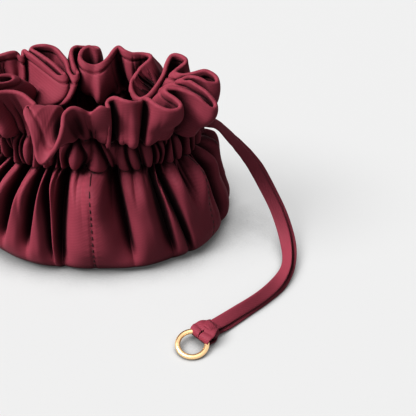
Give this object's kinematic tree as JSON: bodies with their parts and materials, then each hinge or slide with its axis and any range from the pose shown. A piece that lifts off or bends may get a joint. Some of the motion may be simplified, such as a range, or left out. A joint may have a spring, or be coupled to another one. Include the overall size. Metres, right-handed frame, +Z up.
{
  "type": "drawstring pouch",
  "caption": "Small gathered cloth pouch on a flat oval base, with a ruffled heading, a drawstring channel and a doubled strap hitched to a round pull ring.",
  "frame": {"origin": "middle of the pouch's flat base, on the surface it stands on", "axes": "+Z up out of the mouth; +X towards the end where the strap leaves the channel; -Y is the front"},
  "size_m": [0.1335, 0.1286, 0.074],
  "materials": {
    "outer_satin": "burgundy satin twill with a soft sheen",
    "lining_cloth": "burgundy lining cloth, matte",
    "strap_tape": "burgundy satin tape with pressed edges",
    "pale_gold": "polished pale gold"
  },
  "bodies": {
    "pouch": {"body_panel_front_right": "outer_satin", "body_panel_right": "outer_satin", "body_panel_back_right": "outer_satin", "body_panel_back_left": "outer_satin", "body_panel_left": "outer_satin", "body_panel_front_left": "outer_satin", "base_panel": "outer_satin", "lining_wall": "lining_cloth", "lining_base": "lining_cloth", "drawstring_in_channel": "strap_tape", "strap_strand_upper": "strap_tape", "strap_strand_lower": "strap_tape", "strap_hitch": "strap_tape"},
    "ring": {"pull_ring": "pale_gold"}
  },
  "joints": [
    {"name": "ring_swing", "type": "hinge", "parent": "pouch", "child": "ring", "pos_m": [0.0439, -0.0782, 0.0032], "axis": [-0.7054, 0.6955, 0.137], "range_deg": [0, 110]}
  ]
}
